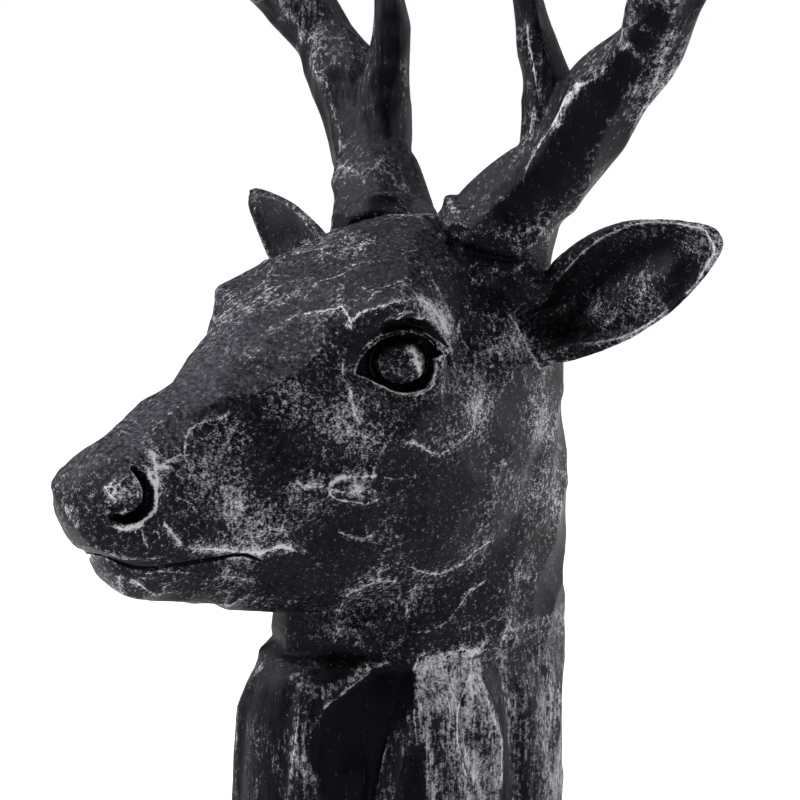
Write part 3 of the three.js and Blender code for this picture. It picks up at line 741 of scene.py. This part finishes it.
def depth_inside(corners, x, y):
    """How deep each place lies inside a flat shape, below zero outside it."""
    inside, far = np.zeros(len(x), bool), np.full(len(x), 99.0)
    for (ax, ay), (bx, by) in zip(corners, corners[1:] + corners[:1]):
        crossed = (ay > y) != (by > y)
        inside ^= crossed & (x < ax + (bx - ax) * (y - ay) / (by - ay if by != ay else 1))
        t = np.clip(((x - ax) * (bx - ax) + (y - ay) * (by - ay)) / ((bx - ax) ** 2 + (by - ay) ** 2), 0, 1)
        far = np.minimum(far, np.hypot(x - ax - t * (bx - ax), y - ay - t * (by - ay)))
    return np.where(inside, far, -far)


def fine_work(points):
    """Where the sculptor's small tools worked: the eyes, the nostrils, the lips and the brow."""
    on_left = points * to_left(points)
    fine = np.linalg.norm(on_left - EYE, axis=1) < FINE_ROUND_EYE
    for path, reach in ((NOSTRIL, 7), (MOUTH, 5)):
        fine |= np.abs(surface_gap(on_left, np.zeros_like(points), path)[0]) < reach
    return fine


# The gouge's scoops: how many places are tried, how far apart they lie on the head and how much less on the
# antlers and ears, how round their bottoms are, and how far from a point they are looked for.
SCOOPS_TRIED = 24000
SCOOP_APART = 16
CLOSER_ON_ANTLER = 4
CLOSER_ON_EAR = 3
SCOOP_ROUND = 2.6
SCOOP_CELL = 26.0
SCOOP_REACH = 78
OTHER_SIDE = 4000


class Gouge:
    """The marks of a gouge: shallow round-bottomed scoops that meet in ridges."""

    def __init__(self, net):
        normals = net.normals()
        points = net.points
        picks = rng.permutation(len(points))[:SCOOPS_TRIED]
        spacing, stretch, way = self.grain(points[picks], normals[picks])
        kept = []
        free = np.ones(len(picks), bool)
        for i in range(len(picks)):
            if not free[i]:
                continue
            kept.append(i)
            gap = points[picks] - points[picks[i]]
            run = gap @ way[i]
            apart2 = (gap**2).sum(1) - run**2 * (1 - 1 / stretch[i] ** 2)
            alike = normals[picks] @ normals[picks[i]] > 0.1
            free &= ~((apart2 < spacing[i] ** 2) & alike)
        kept = np.array(kept)
        self.at = points[picks[kept]]
        self.facing = normals[picks[kept]]
        self.way = way[kept]
        self.squeeze = 1 - 1 / stretch[kept] ** 2
        self.radius = spacing[kept] * SCOOP_ROUND
        self.deep = rng.normal(0, 0.2, len(kept)) * spacing[kept] / 14

    def grain(self, points, normals):
        """The scoops' spacing, how much longer than wide they are, and the way they run."""
        antler = ease(points[:, 2], 283, 292)
        ear = ease(np.abs(points[:, 0]), 58, 66) * (1 - ease(points[:, 2], 286, 292))
        throat = 1 - ease(points[:, 2], 98, 135)
        apart = SCOOP_APART - CLOSER_ON_ANTLER * antler - CLOSER_ON_EAR * ear
        spacing = apart * rng.uniform(0.65, 1.35, len(points))
        stretch = 1.25 + 1.5 * antler + 0.8 * throat + 0.6 * ear
        way = np.tile([0.15, 1.0, 0.3], (len(points), 1))
        side = np.sign(points[:, :1])
        way += antler[:, None] * (side * [0.75, 0, 0] + [0, -1, 0.9])
        way += ear[:, None] * (side * [2, 0, 0] + [0, -1, 0.9])
        way += throat[:, None] * [-0.15, -1, 1]
        way += rng.normal(0, 0.3, way.shape)
        way -= normals * (way * normals).sum(1, keepdims=True)
        return spacing, stretch, unit(way)

    def read(self, points, normals):
        """The scoops' height at each point, and its distance from a ridge, with a sign that turns there."""
        height = np.empty(len(points))
        gap = np.empty(len(points))
        place = np.floor(points / SCOOP_CELL).astype(int)
        code = (place[:, 0] * 1000 + place[:, 1]) * 1000 + place[:, 2]
        order = np.argsort(code, kind="stable")
        starts = np.flatnonzero(np.diff(code[order], prepend=code[order[0]] - 1))
        for some in np.split(order, starts[1:]):
            middle = (place[some[0]] + 0.5) * SCOOP_CELL
            close = np.linalg.norm(self.at - middle, axis=1) < SCOOP_REACH
            p, n = points[some], normals[some]
            at, way = self.at[close], self.way[close]
            apart = (p * p).sum(1)[:, None] - 2 * p @ at.T + (at**2).sum(1)[None]
            run = p @ way.T - (at * way).sum(1)[None]
            turned = np.clip(0.3 - n @ self.facing[close].T, 0, 1) * OTHER_SIDE
            apart = apart - run**2 * self.squeeze[close] + turned
            value = apart / (2 * self.radius[close]) - self.deep[close]
            two = np.sort(np.argpartition(value, 1, axis=1)[:, :2], axis=1)
            two = np.take_along_axis(value, two, axis=1)
            height[some] = two.min(1)
            gap[some] = (two[:, 1] - two[:, 0]) * SCOOP_ROUND
        return height, gap


def hewn(points, normals):
    """How boldly the gouge worked: least in the fine work, the fur and the ears' cups."""
    on_left = points * to_left(points)
    bold = ease(np.linalg.norm(on_left - EYE, axis=1), 15, 26)
    for path, low, high in ((MOUTH, 2, 8), (NOSTRIL, 3, 9)):
        far = np.abs(surface_gap(on_left, normals * 0, path)[0])
        bold = np.minimum(bold, 0.2 + 0.8 * ease(far, low, high))
    x, y, z = on_left.T
    cheek = ease(x, 34, 44) * ease(y, -80, -55) * (1 - ease(z, 205, 225)) * ease(z, 110, 125)
    bold = bold * (1 - 0.45 * cheek)
    chest = (1 - ease(z, 96, 108)) * (1 - ease(y, 30, 55))
    bold = bold * (1 - 0.9 * chest)
    ear = ease(x, 54, 66) * (1 - ease(z, 284, 292))
    cup = ease(-normals[:, 1], -0.1, 0.3)
    return bold * (1 - ear * (0.6 + 0.38 * cup))


def sculpt():
    clay = Clay()
    clay.skin(head_rings())
    clay.skin(neck_rings())
    for ear in EARS:
        clay.skin(ear_rings(*ear)[0])
    for spine, rows in ((BEAM, 140), (BROW_TINE, 60), (OUTER_TINE, 60), (BURR, 30), (EAR_ROOT_FILL, 30)):
        clay.both(limb_rings(spine, rows, 60))
    clay.skin(limb_rings(FAR_EAR_FILL, 30, 60))
    net = Net(*voxel_union(clay))
    net.smooth(2)
    x, y, z = net.points.T
    nape = ease(y, -8, 22) * ease(z, 112, 135) * (1 - ease(np.abs(x), 56, 62)) * (1 - ease(z, 262, 280))
    net.smooth(45, nape)
    ears = ease(np.abs(net.points[:, 0]), 58, 70) * (1 - ease(net.points[:, 2], 286, 294))
    net.smooth(5, ears)
    gouge = Gouge(net)
    level = np.median(gouge.read(net.points, net.normals())[0])
    net = refined(net, fine_work(net.points))
    height, gap = gouge.read(net.points, net.normals())
    bold = hewn(net.points, net.normals())
    net.push((height - level) * bold)
    net.smooth(1)
    stamp_eyes(net)
    carve(net)
    net.smooth(1, 0.6)
    return net, wear_of(net, gap, bold)


def lines_near(net, normals, points, turned):
    """Each point's distance from the nearest rubbed line, in half-widths, and how much it is rubbed."""
    line, much = np.full(len(points), 99.0), np.zeros(len(points))
    lines = [(rubbed, width, path, 0, points, turned) for rubbed, width, path in RIDGES + lid_lines()]
    lines += [(rubbed, width, NOSTRIL, offset, points, turned) for rubbed, width, offset in NOSTRIL_RIMS]
    lines += [(*EAR_RIM, ear_rings(*ear)[1], 0, net.points, normals) for ear in EARS]
    for rubbed, width, path, offset, where, facing in lines:
        far, along = surface_gap(where, facing, path)
        far = (far - offset) / width
        nearer = np.abs(far) < np.abs(line)
        line = np.where(nearer, far, line)
        much = np.where(nearer, rubbed * taper(along), much)
    return line, much * (1 - ease(np.abs(line), 2.2, 3.6))


def patches(net, points, turned):
    """How much more silver is brushed on each point, and how much painted shade it is given."""
    brush, painted_shade_black = np.zeros(len(points)), np.zeros(len(points))
    for at, radius, amount in BRUSHED:
        fade = np.exp(-((points - at) ** 2).sum(1) / radius**2)
        brush = np.maximum(brush, amount * fade)
        painted_shade_black = np.maximum(painted_shade_black, -amount * fade)
    across, ahead = points[:, 0] / NECK_HALF, (NECK_MIDDLE - points[:, 1]) / NECK_LONG
    angle = np.degrees(np.arctan2(across, ahead))
    for amount, corners in NECK_SHAPES:
        deep = depth_inside(corners, angle, points[:, 2])
        within = ease(deep, -1.2, 0.9) * (1 - 0.35 * ease(deep, 2, 7) * (amount > 0))
        brush = np.maximum(brush, amount * within)
        painted_shade_black = np.maximum(painted_shade_black, -amount * within)
    # Painted shade at the spots listed above.
    for at, radius in PAINTED_SHADE_SPOTS:
        away = np.linalg.norm((net.points if at[0] < 0 else points) - at, axis=1) / radius
        painted_shade_black = np.maximum(painted_shade_black, 1 - ease(away, 0.6, 1.3))
    # Painted shade inside the grooves, more in the deeper ones.
    for path, width, depth, square in GROOVES:
        far, along = surface_gap(points, turned, path)
        wall = np.exp(-((far / (0.9 * width * narrowed(along))) ** 4))
        painted_shade_black = np.maximum(painted_shade_black, wall * min(depth / 3.5, 1))
    return brush, np.maximum(painted_shade_black, eye_gap_painted_shade(net.points))


def eye_gap_painted_shade(points):
    """How much painted shade fills the gap round each eyeball: least on its thin ring, and less below the
    ball.
    """
    a, u, height = eye_place(points)
    gap = ease(from_ball(a, u), 0.97, 1.05) * (from_lid(a, u)[0] < -0.3) * (np.abs(height) < 12)
    return gap * (1 - 0.5 * ease(-u, 3, 8)) * (1 - 0.8 * eye_ring(a, u))


def wear_of(net, gap, bold):
    """What the paint follows at each point, painted shade and painted sheen among it."""
    normals = net.normals()
    points, turned = folded(net)
    bend = -((net.mean(net.points) - net.points) * normals).sum(1)[:, None]
    sharp = net.mean(bend)[:, 0]
    antler = ease(points[:, 2], 290, 300)
    ear = ease(points[:, 0], 60, 72) * (1 - antler)
    far_side = ease(-net.points[:, 0], 2, 12)
    line, much = lines_near(net, normals, points, turned)
    brush, painted_shade_black = patches(net, points, turned)
    # Painted sheen: surfaces that face up, most on the muzzle, and the far antler are given a lighter black.
    muzzle = ease(-points[:, 1], 70, 100)
    above = ease(normals[:, 2], 0.25, 0.75) * (0.42 + 0.58 * muzzle) * (points[:, 1] < 60)
    return {
        "seam": gap,
        "seam_much": (1 - ease(np.abs(gap), 2, 3.5)) * ease(bold, 0.3, 0.8) * (1 - 0.5 * antler),
        "line": np.clip(line, -9, 9),
        "line_much": much * (1 - (0.6 - 0.35 * antler) * far_side),
        "brush": brush * (1 - 0.7 * ear * ease(normals[:, 1], -0.2, 0.2)),
        "edge": ease(sharp, 0.01, 0.08) * (1 - 0.6 * antler) * (1 - 0.8 * ear) * (1 - 0.6 * far_side),
        "painted_shade_black": painted_shade_black,
        "fleece": 1 - ease(points[:, 2], 92, 106) + antler,
        "top": np.maximum(above, 0.3 * far_side * antler),
    }


def lid_lines():
    """The rubbed edges round the eye: the rim, the fold over the upper lid, and the ring round the ball."""
    facing, back, up = eye_frame()
    angles, radii, rims = np.array(LID).T
    lines = []
    for low, high, out, rubbed in LID_LINES:
        theta = np.linspace(low, high, 40)
        rho = (np.interp(theta, angles, radii, period=360) + out)[:, None]
        rim = np.interp(theta, angles, rims, period=360)[:, None]
        ring = np.radians(theta)[:, None]
        lines.append((rubbed, 0.6, EYE + rho * (np.cos(ring) * back + np.sin(ring) * up) + rim * facing))
    ring = np.linspace(-2.2, 2.6, 40)[:, None]
    a, u = EYE_BACK + EYE_RING * EYE_BALL[0] * np.cos(ring), EYE_RING * EYE_BALL[1] * np.sin(ring)
    lines.append((0.5, 0.5, EYE + a * back + u * up + (EYE_GAP + 2) * facing))
    return lines


def mesh_of(points, faces, wear):
    mesh = bpy.data.meshes.new("bust")
    mesh.from_pydata((points * MM).tolist(), [], faces.tolist())
    mesh.polygons.foreach_set("use_smooth", np.ones(len(mesh.polygons), bool))
    for name, values in wear.items():
        mesh.attributes.new(name, "FLOAT", "POINT").data.foreach_set("value", values.astype(np.float32))
    return mesh


def bust_shape():
    """The bust's points, triangles and wear, thinned to the triangles that it may have."""
    net, wear = sculpt()
    skin = bpy.data.objects.new("skin", mesh_of(net.points, net.faces, wear))
    bpy.context.scene.collection.objects.link(skin)
    fewer = skin.modifiers.new("fewer", "DECIMATE")
    fewer.ratio = MOST_TRIANGLES / len(net.faces)
    fewer.use_collapse_triangulate = True
    graph = bpy.context.evaluated_depsgraph_get()
    mesh = bpy.data.meshes.new_from_object(skin.evaluated_get(graph))
    points, faces = points_and_faces(mesh)
    wear = {name: np.zeros(len(points), np.float32) for name in wear}
    for name, values in wear.items():
        mesh.attributes[name].data.foreach_get("value", values)
    bpy.data.objects.remove(skin)
    low, high = (np.array(corner) / MM for corner in cad_box)
    return np.clip(points / MM, low, high), faces, wear


def make_bust():
    points, faces, wear = bust_shape()
    bust = bpy.data.objects.new("bust", mesh_of(points, faces, wear))
    bpy.context.scene.collection.objects.link(bust)
    return bust


class Nodes:
    """Short ways to add shader nodes to a material or world."""

    def __init__(self, owner):
        owner.use_nodes = True
        self.tree = owner.node_tree

    def add(self, kind, settings=None, **inputs):
        node = self.tree.nodes.new(kind)
        for name, value in (settings or {}).items():
            setattr(node, name, value)
        for name, value in inputs.items():
            self.put(node, name.replace("_", " "), value)
        return node

    def put(self, node, name, value):
        socket = node.inputs[int(name)] if name.isdigit() else node.inputs[name]
        if isinstance(value, bpy.types.NodeSocket):
            self.tree.links.new(value, socket)
        else:
            socket.default_value = value

    def maths(self, operation, a, b=0.0, clamp=False):
        node = self.add("ShaderNodeMath", {"operation": operation, "use_clamp": clamp})
        self.put(node, "0", a)
        self.put(node, "1", b)
        return node.outputs[0]

    def remap(self, value, low, high, to_low=0.0, to_high=1.0):
        node = self.add("ShaderNodeMapRange", {"interpolation_type": "SMOOTHSTEP"})
        for name, setting in (("Value", value), ("From Min", low), ("From Max", high),
                              ("To Min", to_low), ("To Max", to_high)):
            self.put(node, name, setting)
        return node.outputs["Result"]

    def noise(self, where, scale, detail=4.0, rough=0.6):
        node = self.add("ShaderNodeTexNoise", Scale=scale, Detail=detail, Roughness=rough)
        self.put(node, "Vector", where)
        return node.outputs["Fac"]

    def either(self, which, a, b, most=1.0):
        """a where which is 0, going towards b where it is 1."""
        node = self.add("ShaderNodeMix")
        self.put(node, "0", self.maths("MULTIPLY", which, most, clamp=True))
        self.put(node, "2", a)
        self.put(node, "3", b)
        return node.outputs[0]

    def mix(self, fac, a, b):
        node = self.add("ShaderNodeMix", {"data_type": "RGBA"})
        self.put(node, "0", fac)
        self.put(node, "6", a)
        self.put(node, "7", b)
        return node.outputs[2]


def paint():
    """Satin black paint with silver dry-brushed over what stands proud, with painted shade in hollows and
    corners and a painted sheen on what faces up.
    """
    material = bpy.data.materials.new("black_resin")
    n = Nodes(material)
    shader = n.tree.nodes["Principled BSDF"]
    where = n.add("ShaderNodeTexCoord").outputs["Object"]

    def reading(name):
        return n.add("ShaderNodeAttribute", {"attribute_name": name}).outputs["Fac"]

    def stretched(*scale):
        """The place, drawn out along an axis whose scale is below 1."""
        mapping = n.add("ShaderNodeMapping", Scale=scale)
        n.put(mapping, "Vector", where)
        return mapping.outputs["Vector"]

    fleece = reading("fleece")
    down, along = stretched(1, 1, 0.14), stretched(1, 0.5, 1)
    speck = n.either(fleece, n.noise(along, SPECK, 2, 0.75), n.noise(down, STREAK, 2, 0.75), 0.5)
    grain = n.either(fleece, n.noise(where, GRAIN, 4, 0.7), n.noise(down, GRAIN, 4, 0.7), 0.8)
    cloud = n.noise(where, CLOUD, 4, 0.6)
    thick = n.remap(n.noise(where, PATCH, 3, 0.6), 0.4, 0.66)
    # Painted shade: the black deepens and the silver thins where ambient occlusion finds corners and hollows,
    # and in the mask of painted shade.
    corner = n.add("ShaderNodeAmbientOcclusion", {"samples": 6}, Distance=CORNER_REACH)
    outside_painted_shade = n.maths("SUBTRACT", n.remap(corner.outputs["AO"], 0.4, 0.95), reading("painted_shade_black"), clamp=True)
    stray = n.maths("MULTIPLY", n.maths("SUBTRACT", n.noise(where, FRAY, 4, 0.8), 0.5), 2.2)

    def drawn(name, thin, wide):
        """A frayed line where a signed distance crosses zero, with a spray of specks beside it."""
        off = n.maths("ABSOLUTE", n.maths("ADD", reading(name), stray))
        width = n.maths("ADD", n.maths("MULTIPLY", thick, wide - thin), thin)
        core = n.maths("SUBTRACT", 1.0, n.maths("DIVIDE", off, width), clamp=True)
        spray = n.maths("SUBTRACT", 0.45, n.maths("MULTIPLY", off, 0.2), clamp=True)
        return n.maths("MULTIPLY", n.maths("MAXIMUM", core, spray), reading(name + "_much"))

    seam = n.maths("MULTIPLY", drawn("seam", 0.12, 0.6), n.remap(cloud, 0.4, 0.62, 0.1, 0.55))
    edge = n.maths("MULTIPLY", reading("edge"), n.remap(cloud, 0.4, 0.62, 0.2, 0.6))
    amount = n.maths("MAXIMUM", n.maths("MAXIMUM", drawn("line", 0.3, 1.15), seam), edge)
    amount = n.maths("MAXIMUM", amount, reading("brush"))
    amount = n.maths("ADD", amount, n.remap(cloud, 0.38, 0.68, 0.02, 0.34))
    # Painted sheen: on what faces up the black is lighter and the silver thinner.
    top = reading("top")
    amount = n.maths("MULTIPLY", amount, n.maths("SUBTRACT", 1.0, n.maths("MULTIPLY", top, 0.27)))
    amount = n.maths("MULTIPLY", amount, outside_painted_shade)
    bent = n.maths("ABSOLUTE", n.maths("SUBTRACT", n.noise(where, VEIN, 3, 0.65), 0.5))
    veins = n.maths("SUBTRACT", 1.0, n.maths("MULTIPLY", bent, 7), clamp=True)
    cover = n.maths("MULTIPLY", speck, 0.46)
    for part, share in ((grain, 0.44), (veins, 0.11), (amount, 0.32)):
        cover = n.maths("ADD", cover, n.maths("MULTIPLY", part, share))
    silver = n.remap(cover, 0.595, 0.87)
    # The grain's haze keeps the plain black; where corners or the mask of painted shade shut it out, the
    # black goes to its darkest, painted shade.
    grain_haze_and_painted_shade = n.maths("MULTIPLY", n.remap(grain, 0.3, 0.75), outside_painted_shade)
    painted_shade_black = n.mix(grain_haze_and_painted_shade, PAINTED_SHADE_COLOUR, n.mix(top, SIDE_BLACK, PAINTED_SHEEN_COLOUR))
    n.put(shader, "Base Color", n.mix(silver, painted_shade_black, SILVER))
    n.put(shader, "Roughness", n.remap(grain, 0.3, 0.7, 0.4, 0.6))
    shader.inputs["IOR"].default_value = 1.15
    shader.inputs["Specular Tint"].default_value = (0.87, 0.82, 1, 1)
    bump = n.add("ShaderNodeBump", Strength=0.4, Distance=BUMP_HEIGHT)
    n.put(bump, "Height", n.maths("ADD", n.maths("MULTIPLY", grain, 0.6), n.maths("MULTIPLY", speck, 0.4)))
    n.put(shader, "Normal", bump.outputs["Normal"])
    return material


def floor_paint():
    material = bpy.data.materials.new("pale_floor")
    n = Nodes(material)
    shader = n.tree.nodes["Principled BSDF"]
    shade = n.noise(n.add("ShaderNodeTexCoord").outputs["Object"], 3, 2)
    n.put(shader, "Base Color", n.mix(shade, (0.88, 0.88, 0.88, 1), (0.9, 0.9, 0.9, 1)))
    shader.inputs["Roughness"].default_value = 0.8
    shader.inputs["Specular IOR Level"].default_value = 0.1
    return material


def make_camera():
    back = np.array([math.sin(AZIMUTH) * math.cos(ELEVATION), -math.cos(AZIMUTH) * math.cos(ELEVATION),
                     math.sin(ELEVATION)])
    data = bpy.data.cameras.new("camera")
    data.sensor_width = 36
    data.lens = LENS
    camera = bpy.data.objects.new("camera", data)
    camera.location = Vector((LOOK_AT + back * DISTANCE) * MM)
    camera.rotation_euler = Vector(-back).to_track_quat("-Z", "Y").to_euler()
    bpy.context.scene.collection.objects.link(camera)
    bpy.context.scene.camera = camera


def make_floor():
    half = FLOOR_HALF
    corners = [(-half, -half, 0), (half, -half, 0), (half, half, 0), (-half, half, 0)]
    mesh = bpy.data.meshes.new("floor")
    mesh.from_pydata(corners, [], [(0, 1, 2, 3)])
    floor = bpy.data.objects.new("floor", mesh)
    mesh.materials.append(floor_paint())
    bpy.context.scene.collection.objects.link(floor)


def make_light(name, towards, size, strength):
    """A soft box that shines on the head."""
    right = np.array([math.cos(AZIMUTH), math.sin(AZIMUTH), 0])
    near = np.array([math.sin(AZIMUTH), -math.cos(AZIMUTH), 0])
    way = unit(towards[0] * right + towards[1] * np.array([0, 0, 1]) + towards[2] * near)
    data = bpy.data.lights.new(name, "AREA")
    data.shape = "RECTANGLE"
    data.size, data.size_y = size
    data.energy = strength
    light = bpy.data.objects.new(name, data)
    light.location = Vector((0, 0, HEAD_HEIGHT)) + Vector(way) * LIGHT_DISTANCE
    light.rotation_euler = Vector(way).to_track_quat("Z", "Y").to_euler()
    bpy.context.scene.collection.objects.link(light)


def make_sun():
    way = unit(SUN_WAY)
    data = bpy.data.lights.new("sun", "SUN")
    data.energy = SUN_STRENGTH
    data.angle = math.radians(SUN_WIDTH)
    sun = bpy.data.objects.new("sun", data)
    sun.rotation_euler = Vector(way).to_track_quat("Z", "Y").to_euler()
    bpy.context.scene.collection.objects.link(sun)


def make_world():
    world = bpy.data.worlds.new("studio")
    bpy.context.scene.world = world
    n = Nodes(world)
    shade = n.tree.nodes["Background"]
    shade.inputs["Color"].default_value = (1, 1, 1, 1)
    shade.inputs["Strength"].default_value = SKY_STRENGTH


make_camera()
bust = make_bust()
bust.data.materials.append(paint())
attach(bust, "root")
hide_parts(NODE)
make_floor()
make_sun()
for light in LIGHTS:
    make_light(*light)
make_world()
bpy.context.scene.view_settings.view_transform = "Standard"
